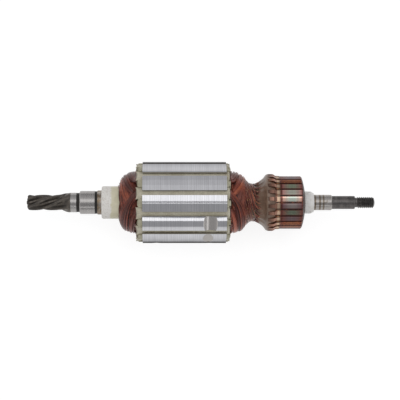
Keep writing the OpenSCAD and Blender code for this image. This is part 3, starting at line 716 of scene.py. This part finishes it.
def build_shaft():
    """The whole shaft as one turned solid, with its teeth and thread as waves in the radius."""
    tip = SHAFT_LEFT + TIP_LEN
    journal_right = BAR_LEFT - 1.1
    stub_right = SHAFT_RIGHT - THREAD_LEN
    small_seat_right = stub_right - STUB_LEN
    neck_right = stub_right + 0.9
    # Rows of station, radius and zone. Teeth and thread get their radii after them.
    nose = [
        (tip - TIP_LEN, 0.0, PINION_ZONE), (tip - TIP_LEN, 0.8, PINION_ZONE),
        (tip - 0.1, 1.25, PINION_ZONE), (tip, 1.3, PINION_ZONE)]
    teeth_x = np.concatenate([[tip, tip + 0.15, tip + 0.4], np.linspace(tip + LEAD_IN_LEN, LAND_LEFT, 92)])
    teeth = [(station, PINION_R, PINION_ZONE) for station in teeth_x]
    drive_end = [
        (LAND_LEFT, LAND_R, LAND_ZONE),
        (LAND_RIGHT - CHAMFER, LAND_R, LAND_ZONE),
        # The grooves beside the land and the seat are painted shade.
        (LAND_RIGHT, LAND_R - CHAMFER, GROOVE_SHADE_ZONE),
        (SEAT_LEFT, LAND_R - CHAMFER, GROOVE_SHADE_ZONE),
        (SEAT_LEFT, SEAT_R - SEAT_CHAMFER, SEAT_ZONE),
        (SEAT_LEFT + SEAT_CHAMFER, SEAT_R, SEAT_ZONE),
        (SEAT_RIGHT, SEAT_R, SEAT_ZONE),
        (SEAT_RIGHT, RELIEF_R, GROOVE_SHADE_ZONE),
        (SHOULDER_LEFT, RELIEF_R, GROOVE_SHADE_ZONE),
        (SHOULDER_LEFT, SHOULDER_R - CHAMFER, SHOULDER_ZONE),
        (SHOULDER_LEFT + CHAMFER, SHOULDER_R, SHOULDER_ZONE),
        (SHOULDER_RIGHT, SHOULDER_R, SHOULDER_ZONE)]
    commutator_end = [
        (SHOULDER_RIGHT, JOURNAL_R, SHOULDER_ZONE),
        (journal_right, JOURNAL_R, SHOULDER_ZONE),
        (journal_right, COLLAR_BORE_R, SHOULDER_ZONE),
        (SMALL_SEAT_LEFT - 0.1, COLLAR_BORE_R, SMALL_SEAT_ZONE),
        (SMALL_SEAT_LEFT, SMALL_SEAT_R, SMALL_SEAT_ZONE),
        (small_seat_right - SEAT_CHAMFER, SMALL_SEAT_R, SMALL_SEAT_ZONE),
        (small_seat_right, SMALL_SEAT_R - SEAT_CHAMFER, SMALL_SEAT_ZONE),
        (small_seat_right, STUB_R, OXIDE_ZONE),
        (stub_right - 2 * STUB_CHAMFER, STUB_R, OXIDE_ZONE),
        (stub_right - STUB_CHAMFER, STUB_R - STUB_CHAMFER, OXIDE_ZONE),
        (stub_right - STUB_CHAMFER, THREAD_NECK_R, OXIDE_ZONE),
        (neck_right, THREAD_NECK_R, OXIDE_ZONE)]
    thread_x = np.linspace(neck_right + 0.05, SHAFT_RIGHT - 0.5, 116)
    thread = [(station, THREAD_CREST_R, OXIDE_ZONE) for station in thread_x]
    end = [
        (SHAFT_RIGHT - 0.2, 1.9, OXIDE_ZONE), (SHAFT_RIGHT, 1.1, OXIDE_ZONE), (SHAFT_RIGHT, 0.0, OXIDE_ZONE)]
    x, r, zone = np.array(nose + teeth + drive_end + commutator_end + thread + end).T

    angle = np.linspace(0, 360, SIDES, endpoint=False)[None, :]
    radius = np.repeat(r[:, None], SIDES, axis=1)
    teeth_last = len(nose) + len(teeth)
    radius[len(nose):teeth_last] = pinion_radius(teeth_x[:, None], angle, tip)
    # The last of these rows closes on the land.
    radius[teeth_last - 1] = LAND_R - 0.02
    thread_first = teeth_last + len(drive_end) + len(commutator_end)
    thread_rows = slice(thread_first, thread_first + len(thread))
    radius[thread_rows] = thread_radius(thread_x[:, None], angle, neck_right)
    points = polar(x[:, None] + 0 * radius, radius, np.repeat(angle, len(x), axis=0)).reshape(-1, 3)
    faces = grid_faces(len(x), SIDES)[:, ::-1]
    zones = np.repeat(zone[1:], SIDES)
    weld(make_piece("turned_shaft", points, faces, ZONE_STEELS, ("shaft",), 35, zones))


# ---------------------------------------------------------------- slot insulation
RING_SIDES = 96
SINK = 0.3
BLOCK_HALF = 1.4
BLOCK_FOOT_R = 17.5
BLOCK_CHAMFER = 0.25
LIP_HALF = 3.05
WEDGE_CROWN = 0.35


def build_insulators():
    """End insulators: a ring with an arm on each tooth, and a narrow block that stands on each arm."""
    ring_r = SLOT_BOTTOM - 0.1
    arm_foot_r = SLOT_BOTTOM - SINK
    arm_half = TOOTH_W / 2 + 0.05
    arm = [(arm_foot_r, -arm_half), (INSULATOR_R, -arm_half), (INSULATOR_R, arm_half), (arm_foot_r, arm_half)]
    top = INSULATOR_R - 0.25
    block = [
        (BLOCK_FOOT_R, -BLOCK_HALF), (top - BLOCK_CHAMFER, -BLOCK_HALF), (top, BLOCK_CHAMFER - BLOCK_HALF),
        (top, BLOCK_HALF - BLOCK_CHAMFER), (top - BLOCK_CHAMFER, BLOCK_HALF), (BLOCK_FOOT_R, BLOCK_HALF)]
    turn = np.linspace(0, 360, RING_SIDES, endpoint=False)
    for name, inside, outside, block_end, node in (
        ("drive_end_insulator", CORE_LEFT, INSULATOR_LEFT, CUFF_LEFT + 0.5, "insulator_drive_end"),
        ("commutator_end_insulator", CORE_RIGHT, INSULATOR_RIGHT, CUFF_RIGHT, "insulator_commutator_end"),
    ):
        bundle = Bundle()
        outward = 1 if outside > inside else -1
        corners = [(inside, ring_r), (outside, ring_r), (outside, BORE_R), (inside, BORE_R)]
        rings = [polar(x, r, turn) for x, r in corners]
        walls = grid_faces(4, RING_SIDES)[:, ::outward]
        bore = closing_faces(4, RING_SIDES)[:, ::-outward]
        bundle.add(np.concatenate(rings), np.concatenate([walls, bore]))
        for tooth in range(SLOTS):
            angle = TOP_SLOT + (tooth + 0.5) * SLOT_STEP
            bundle.add(*loft([ring_at(x, arm, angle) for x in sorted((inside, outside))]))
            block_span = sorted((outside - SINK * outward, block_end))
            bundle.add(*loft([ring_at(x, block, angle) for x in block_span]))
        bundle.finish(name, "end_insulation", INSULATOR, (node,), 30)


def build_slot_closures():
    """Arched wedges that close the slots, with flared lips over the ends of the core."""
    bundle = Bundle()
    across = np.linspace(-1, 1, 11)
    inside = slot_half(WEDGE_TOP, 0.35)
    # Station, dent of the edge at the middle, half width, rise of the lip.
    rows = [
        (CUFF_LEFT - 0.4, 0.9, LIP_HALF, 0.45), (CUFF_LEFT - 0.2, 0.8, LIP_HALF, 0.42),
        (CUFF_LEFT + 0.8, 0.4, LIP_HALF - 0.1, 0.3), (INSULATOR_LEFT + 0.9, 0.1, 2.8, 0.15),
        (CORE_LEFT - 0.3, 0.0, inside, 0.0), (CORE_LEFT + 0.5, 0.0, inside, 0.0),
        (CORE_RIGHT - 0.5, 0.0, inside, 0.0), (CORE_RIGHT + 0.1, 0.0, 2.75, 0.1),
        (CORE_RIGHT + 0.7, 0.1, LIP_HALF - 0.1, 0.35), (CORE_RIGHT + 1.1, 0.25, LIP_HALF - 0.15, 0.2),
        (CORE_RIGHT + 1.25, 0.3, LIP_HALF - 0.3, -0.1)]
    for slot in range(SLOTS):
        rings = []
        for station, dent, half, rise in rows:
            edge = station + dent * (1 - across**2)
            arch = WEDGE_TOP + WEDGE_CROWN * (1 - across**2) + rise
            thickness = WEDGE_T * (0.7 if rise > 0 else 1)
            top = np.stack([arch, half * across], axis=-1)
            under = np.stack([arch - thickness, half * across], axis=-1)[::-1]
            outline = np.concatenate([top, under])
            rings.append(ring_at(np.concatenate([edge, edge[::-1]]), outline, TOP_SLOT + slot * SLOT_STEP))
        bundle.add(*loft(rings))
    bundle.finish("slot_closures", "wedge_fibre", WEDGE, ("slot_wedges",), 35)


# ---------------------------------------------------------------- winding
# RINGS counts the points along an end turn, and ACROSS the wires side by side in a bundle. The drops
# from layer to layer are in wire radii. Tones run from 0, the darkest wire, to 1.
WIRE_R = 0.29
WIRE_SIDES = 5
RINGS = 40
RING_EASE = 0.495
ACROSS = 14
LAYER_DROP = 1.7
EXIT_LAYER_DROP = 1.5
HEAD_RISE = 9.2
HEAD_FULLNESS = 2.3
WIRE_COVER = 1.55
CROWN = 1.35
STRAND_SWAY = 0.05
GROOVE_SHARE = 0.2
GROOVE_DEPTH = 0.8
# How much darker a wire in a groove is made: painted shade.
GROOVE_PAINTED_SHADE = 0.5
TURN_EASE = 0.35
SLOT_HALF_W = 1.9
SLOT_MIDDLE_R = 17
EXIT_R_TOP = 17.1
EXIT_R_LOW = 13.7
SLOT_OVERLAP = 1.5
TONE_SPREAD = 0.13
PHASE_RANGE = 6.28

# For each coil: middle and half width as shares of the head's reach, height as a share of its rise,
# and the tone of its wires.
COILS = [
    (0.67, 0.27, 1.00, 0.48), (0.27, 0.21, 0.95, 0.62), (0.62, 0.26, 0.84, 0.45), (0.40, 0.30, 0.80, 0.50),
    (0.55, 0.30, 0.66, 0.45), (0.35, 0.30, 0.62, 0.45), (0.36, 0.32, 1.00, 0.54), (0.72, 0.27, 0.99, 0.50),
    (0.70, 0.24, 0.88, 0.75), (0.66, 0.28, 0.82, 0.60), (0.34, 0.34, 0.80, 0.50), (0.60, 0.34, 0.66, 0.45)]


def head_profile(share):
    """Outer radius of a winding head at a share of its reach beyond the insulator."""
    share = np.clip(share, 0.0, 1.0)
    dome = 0.86 * (1 - share**2.4) ** 0.62
    flare = 0.14 * np.clip(1 - share / 0.3, 0, None) ** 2
    return SLEEVE_R + HEAD_RISE * (dome + flare)


def bundle_paths(start, shape, reach, start_r, end_r, layers):
    """Wires of one coil's end turn: distance beyond the cuffs, radius, angle and change of tone.

    Neighbouring wires share a sway and a tone, as one strand, until a wire in a groove parts them. A wire in
    a groove is also darkened in tone as painted shade.
    """
    middle, half_width, height = shape
    way = np.linspace(0, 1, RINGS)
    way = way - RING_EASE * np.sin(4 * np.pi * way) / (4 * np.pi)
    side = np.abs(2 * way - 1)
    eased = way - TURN_EASE * np.sin(2 * np.pi * way) / (2 * np.pi)
    in_slot = smooth(side * 7.0 - 6.0)
    paths = []
    wobble, *_ = random.uniform(0, PHASE_RANGE, 3)
    for layer in range(layers):
        wires = ACROSS - layer % 2
        for k in range(wires):
            low = k > 0 and random.random() < GROOVE_SHARE
            if k == 0 or low:
                sway = STRAND_SWAY * random.normal() * np.sin(np.pi * way + random.uniform(0, PHASE_RANGE))
                strand_tone = random.normal(0, TONE_SPREAD)
            place = (k - (wires - 1) / 2) / ((ACROSS - 1) / 2)
            across = place + (random.normal(0, 0.02) + sway) * (1 - place * place * 0.5)
            distance = reach * (middle + half_width * across) * (1 - side**HEAD_FULLNESS)
            spread = np.degrees(SLOT_HALF_W / SLOT_MIDDLE_R) * across
            angle = start + COIL_SPAN * SLOT_STEP * eased + spread * (2 * eased - 1)
            crown = CROWN * (1 - np.abs(np.clip(across, -1, 1)) ** 3) * np.sin(np.pi * way) ** 0.5
            surface = SLEEVE_R + (head_profile(distance / reach) - SLEEVE_R) * height
            radius = surface - WIRE_COVER + crown - GROOVE_DEPTH * low - layer * WIRE_R * LAYER_DROP
            radius = radius + 0.12 * np.sin(3 * np.pi * way + wobble) * across
            exit_r = start_r + (end_r - start_r) * smooth(way) - layer * WIRE_R * EXIT_LAYER_DROP
            radius = radius * (1 - in_slot) + exit_r * in_slot
            radius = np.maximum(radius, SLEEVE_R + WIRE_R)
            # The tone of a wire in a groove drops by the painted shade of the groove.
            paths.append((distance, radius, angle, strand_tone - GROOVE_PAINTED_SHADE * low))
    return paths


def round_off(path, passes):
    """Relaxes the corners of a path and keeps its ends."""
    path = path.copy()
    for _ in range(passes):
        path[1:-1] = (path[:-2] + 2 * path[1:-1] + path[2:]) / 4
    return path


def slot_side(bundle, angle, radius):
    """The straight wires of a coil side inside its slot, as one closed bar."""
    on_top = radius == EXIT_R_TOP
    half_height = 1.1 if on_top else 1.9
    half_width = SLOT_HALF_W if on_top else 0.8
    corner = np.array([[-1, -1], [1, -1], [1, 1], [-1, 1]]) * [half_height, half_width]
    a = math.radians(angle + REST_TURN)
    out = np.array([math.cos(a), math.sin(a)])
    along = np.array([-math.sin(a), math.cos(a)])
    points = []
    for x in (CUFF_LEFT - 0.3, CUFF_RIGHT + 0.3):
        for h, w in corner:
            y, z = out * (radius + h) + along * w
            points.append((x * MM, y * MM, z * MM))
    ends = [(0, 1, 2, 3), (7, 6, 5, 4)]
    walls = [(k, k + 4, (k + 1) % 4 + 4, (k + 1) % 4) for k in range(4)]
    bundle.add(np.array(points), ends + walls, 0.3)


def slot_levels():
    """For each slot, the lowest level among its coils, which is the one wound last."""
    levels = {}
    for level in range(SLOTS // 2):
        for slot in (level, level + COIL_SPAN, level - 1, level - 1 - COIL_SPAN):
            levels[slot % SLOTS] = min(levels.get(slot % SLOTS, SLOTS), level)
    return levels


def build_coil(first, level, last_wound):
    """One coil: its wires around both ends of the core, and its two sides in their slots."""
    bundle = Bundle()
    slots = (first, first + COIL_SPAN)
    radii = [EXIT_R_TOP if last_wound[slot % SLOTS] == level else EXIT_R_LOW for slot in slots]
    start = TOP_SLOT + first * SLOT_STEP
    layers = 3 if level < 3 else 2
    *shape, tone = COILS[first]
    for exit_x, outward, reach in (
        (CUFF_LEFT, -1, CUFF_LEFT - COIL_LEFT),
        (CUFF_RIGHT, 1, COIL_RIGHT - CUFF_RIGHT),
    ):
        into_slot = [[outward * SLOT_OVERLAP * MM, 0, 0]]
        for distance, radius, angle, shade in bundle_paths(start, shape, reach - WIRE_R, *radii, layers):
            path = polar(exit_x + outward * distance, radius, angle)
            path = round_off(np.concatenate([path[[0]] - into_slot, path, path[[-1]] - into_slot]), 2)
            # The tone change from bundle_paths holds the grooves' painted shade.
            wire_tone = np.clip(random.normal(tone + shade, TONE_SPREAD), 0, 1)
            bundle.add(*tube_along(path, WIRE_R * MM, WIRE_SIDES), wire_tone)
    for slot, radius in zip(slots, radii):
        slot_side(bundle, TOP_SLOT + slot * SLOT_STEP, radius)
    bundle.finish(f"coil_wires_{first + 1:02d}", "magnet_wire", WIRE, (f"coil_{first + 1:02d}",))


def build_coils():
    """Twelve coils, wound in pairs on opposite sides of the shaft; level 0 was wound last."""
    last_wound = slot_levels()
    for level in range(SLOTS // 2):
        for first in (level, level + SLOTS // 2):
            build_coil(first, level, last_wound)


# ---------------------------------------------------------------- leads and resin
LEAD_RINGS = 44
LEAD_SIDES = 6
LEAD_WRAP = 145
WRAP_END = 0.68
TWIN_TURN = 2.0
TWIN_LIFT = 0.06
# Rows of a share of a lead's way, and its station or radius there.
LEAD_STATIONS = [
    (0, COIL_RIGHT - 2.6), (0.2, COIL_RIGHT - 0.9), (0.34, COIL_RIGHT + 0.35),
    (0.62, COIL_RIGHT + 3.4), (0.9, BAR_LEFT + 0.6), (1, BAR_LEFT + 2.4)]
LEAD_RADII = [
    (0, 11.5), (0.14, 11.3), (0.3, 9.75), (0.62, 9.6), (0.7, 10.45),
    (0.76, 11.15), (0.82, 11.85), (0.9, 13.0), (1, 13.35)]

# Rows of station and radius, from the neck over the cone and back along the inside.
RESIN_OUTLINE = np.array([
    [86.6, 9.0], [87.3, 9.5], [87.9, 10.1], [88.5, 10.75], [89.2, 11.2], [90.0, 11.85], [90.7, 12.55],
    [91.3, 13.4], [91.7, 14.0], [92.1, 14.4], [92.7, 14.5], [93.4, 14.3], [94.4, 13.95], [95.4, 13.5],
    [96.2, 13.05], [96.2, 12.0], [88.0, 8.3], [86.6, 8.3]])
RESIN_SIDES = 192
RESIN_RIB = 0.16
RESIN_LUMPS_FROM = 86.4
RESIN_LUMPS_LEN = 5.0
# Rows of height, count around the shaft, and phase.
RESIN_WAVES = [(0.13, 5, 40), (0.1, 9, 200), (0.07, 17, 0)]
RESIN_EDGE_WAVES = [(0.35, 7, 30), (0.2, 13, 0)]


def build_leads():
    """Pairs of wires that leave the winding head, wrap the neck and rise to the hooks."""
    bundle = Bundle()
    way = np.linspace(0, 1, LEAD_RINGS)
    stations = follow(way, LEAD_STATIONS)
    radii = follow(way, LEAD_RADII)
    free = follow(way, [(0, 0), (0.3, 1), (0.6, 1), (0.75, 0)])
    apart = follow(way, [(0, 1.2), (0.9, 1), (1, 0.2)])
    into_hook = follow(way, [(0.9, 0), (1, BAR_STEP / 2)])
    for bar in range(BARS):
        for twin in (-1, 1):
            wrap = LEAD_WRAP + random.normal(0, 12)
            tone = np.clip(random.normal(0.55, 0.25), 0, 1)
            x = stations + random.normal(0, 0.35) * free
            r = radii + twin * TWIN_LIFT + 0.12 * np.sin(9 * way + bar)
            wound = 90 + bar * BAR_STEP - wrap * (1 - smooth(way / WRAP_END))
            angle = wound + twin * TWIN_TURN * apart + into_hook
            path = polar(x, np.maximum(r, NECK_SLEEVE_R + WIRE_R), angle)
            bundle.add(*tube_along(round_off(path, 3), WIRE_R * MM, LEAD_SIDES), tone)
    bundle.finish("commutator_leads", "magnet_wire", LEAD_WIRE, ("coil_leads",))


def waves_around(angle, waves):
    """Sum of waves around the shaft, from rows of height, count and phase."""
    return sum(height * np.sin(np.radians(angle * count + phase)) for height, count, phase in waves)


def build_resin():
    """Lumpy cone of resin over the leads, up to and between the hooks."""
    stations, radii = RESIN_OUTLINE[:, :1], RESIN_OUTLINE[:, 1:]
    angle = np.linspace(0, 360, RESIN_SIDES, endpoint=False)[None, :]
    ribs = np.cos(np.radians(angle) * BARS) * RESIN_RIB
    share = np.clip((stations - RESIN_LUMPS_FROM) / RESIN_LUMPS_LEN, 0, 1) * (radii > 9)
    lumps = (ribs + waves_around(angle, RESIN_WAVES)) * np.sin(np.pi * share**0.8) * (share < 1)
    radius = radii + lumps
    x = stations + 0 * radius
    x[0] += waves_around(angle[0], RESIN_EDGE_WAVES)
    points = polar(x, radius, np.repeat(angle, len(x), axis=0)).reshape(-1, 3)
    outside = grid_faces(len(x), RESIN_SIDES)[:, ::-1]
    end = closing_faces(len(x), RESIN_SIDES)[:, ::-1]
    faces = np.concatenate([outside, end])
    weld(make_piece("resin_cone", points, faces, [RESIN], ("lead_fillet",), 60))


# ---------------------------------------------------------------- carried CAD nodes
BAR_ORDER = [
    PLUM, SAGE, SLATE, EMBER, EMBER, SLATE, ROSE, PLUM, GREEN, SLATE, EMBER, CREAM_WITH_HIGHLIGHT,
    ROSE, PLUM, SLATE, GREEN, EMBER, ROSE, PLUM, SLATE, EMBER, GREEN, ROSE, CREAM_WITH_HIGHLIGHT]


def dress(node, material):
    """Gives a CAD node its finish."""
    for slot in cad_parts[node].material_slots:
        slot.material = material


def dress_nodes():
    """Finishes of the CAD nodes that show as they are."""
    dress("core", CORE)
    dress("slot_liners", PAPER)
    dress("shaft_tube", TUBE)
    dress("neck_sleeve", TUBE)
    dress("drive_end_sleeve", SLEEVE)
    dress("collar", COLLAR)
    dress("commutator_moulding", MOULDING)
    dress("commutator_separators", MICA)
    dress("commutator_bush", GROUND)
    for bar, tint in enumerate(BAR_ORDER):
        dress(f"commutator_bar_{bar + 1:02d}", tint)


# ---------------------------------------------------------------- studio
# Lengths are in metres here. The camera and the lamps are turned about the shaft with the armature.
SENSOR_WIDTH = 36
CAMERA_DISTANCE = 0.8
CAMERA_X = 0.040
CAMERA_ASIDE = 0.00129
VIEW_CENTRE_X = 0.0581
VIEW_WIDTH = 0.2065
LAMP_DISTANCE = 1.0
LAMP_LENGTH = 1.3
GLINT_LENGTH = 0.2
GLINT_SHIFT = 0.36
WORLD_GREY = (0.47, 0.47, 0.48)
HORIZON_WHITE = (1, 1, 1)
HORIZON_EDGE = 0.09
HORIZON_FULL = 0.03
FLOOR_HALF = 3.0
FLOOR_GREY = (0.3, 0.3, 0.3)
FLOOR_GLOW = (0.36, 0.36, 0.36)
FLOOR_GLOW_SEEN = (0.83, 0.83, 0.83)


def add_camera():
    """Camera that looks square at the shaft, and centres the view by its shift."""
    data = bpy.data.cameras.new("camera")
    data.sensor_width = SENSOR_WIDTH
    data.lens = data.sensor_width * CAMERA_DISTANCE / VIEW_WIDTH
    data.shift_x = (VIEW_CENTRE_X - CAMERA_X) / VIEW_WIDTH
    data.clip_start = 0.01
    camera = bpy.data.objects.new("camera", data)
    turn = math.radians(REST_TURN)
    y = CAMERA_ASIDE * math.cos(turn) - CAMERA_DISTANCE * math.sin(turn)
    z = CAMERA_ASIDE * math.sin(turn) + CAMERA_DISTANCE * math.cos(turn)
    camera.location = (CAMERA_X, y, z)
    camera.rotation_euler = (turn, 0, 0)
    bpy.context.scene.collection.objects.link(camera)
    bpy.context.scene.camera = camera


def add_softbox(name, low_tilt, high_tilt, brightness, length=LAMP_LENGTH, shift=0.0):
    """Area lamp along the shaft that covers the tilts, in degrees from the camera's side towards +Y."""
    tilt = math.radians((low_tilt + high_tilt) / 2 - REST_TURN)
    width = 2 * LAMP_DISTANCE * math.tan(math.radians((high_tilt - low_tilt) / 2))
    data = bpy.data.lights.new(name, "AREA")
    data.shape = "RECTANGLE"
    data.size = length
    data.size_y = width
    data.energy = brightness * width * length
    lamp = bpy.data.objects.new(name, data)
    lamp.location = (VIEW_CENTRE_X + shift, LAMP_DISTANCE * math.sin(tilt), LAMP_DISTANCE * math.cos(tilt))
    lamp.rotation_euler = (-tilt, 0, 0)
    bpy.context.scene.collection.objects.link(lamp)


def add_softboxes():
    """One broad lamp with weaker ones above it, and narrow ones for glints below the middle."""
    add_softbox("main_softbox", 3.5, 33.5, 3.6)
    add_softbox("upper_fill", 33.5, 50, 1.15)
    add_softbox("middle_fill", 50, 66, 0.8)
    add_softbox("top_fill", 66, 84, 0.5)
    add_softbox("slit", -2.5, -0.8, 3.6)
    add_softbox("lower_strip", -52.5, -43.5, 3.9)
    add_softbox("notch_glint", -72, -54, 3.0, GLINT_LENGTH, GLINT_SHIFT)


def add_world():
    """Grey room with a white band at the horizon, where the floor ends."""
    world = bpy.data.worlds.new("studio")
    bpy.context.scene.world = world
    world.use_nodes = True
    w = Wiring(world.node_tree)
    direction = w.node("ShaderNodeTexCoord").outputs["Generated"]
    rise = w.math("ABSOLUTE", w.parts(direction)["Z"])
    near_horizon = w.range(rise, HORIZON_EDGE, HORIZON_FULL)
    back = world.node_tree.nodes["Background"]
    w.feed(back.inputs["Color"], w.mix(near_horizon, rgba(*WORLD_GREY), rgba(*HORIZON_WHITE)))
    w.feed(back.inputs["Strength"], 1.0)


def add_floor():
    """Floor under the armature: white to the camera and in reflections, and weaker as a light."""
    z = cad_low.z
    corners = [(x * FLOOR_HALF, y * FLOOR_HALF, z) for x, y in ((-1, -1), (1, -1), (1, 1), (-1, 1))]
    mesh = bpy.data.meshes.new("floor")
    mesh.from_pydata(corners, [], [(0, 1, 2, 3)])
    floor = bpy.data.objects.new("floor", mesh)
    bpy.context.scene.collection.objects.link(floor)
    finish = Finish("white_floor", FLOOR_GREY, 0.9, specular=0.0)
    rays = finish.node("ShaderNodeLightPath").outputs
    seen = finish.math("MAXIMUM", rays["Is Camera Ray"], rays["Is Transmission Ray"])
    seen = finish.math("MAXIMUM", seen, rays["Is Glossy Ray"])
    finish.set("Emission Color", finish.mix(seen, rgba(*FLOOR_GLOW), rgba(*FLOOR_GLOW_SEEN)))
    finish.set("Emission Strength", 1.0)
    mesh.materials.append(finish.material)


add_camera()
build_shaft()
build_insulators()
build_slot_closures()
build_coils()
build_leads()
build_resin()
dress_nodes()
add_world()
add_floor()
add_softboxes()
bpy.context.scene.view_settings.view_transform = "Standard"
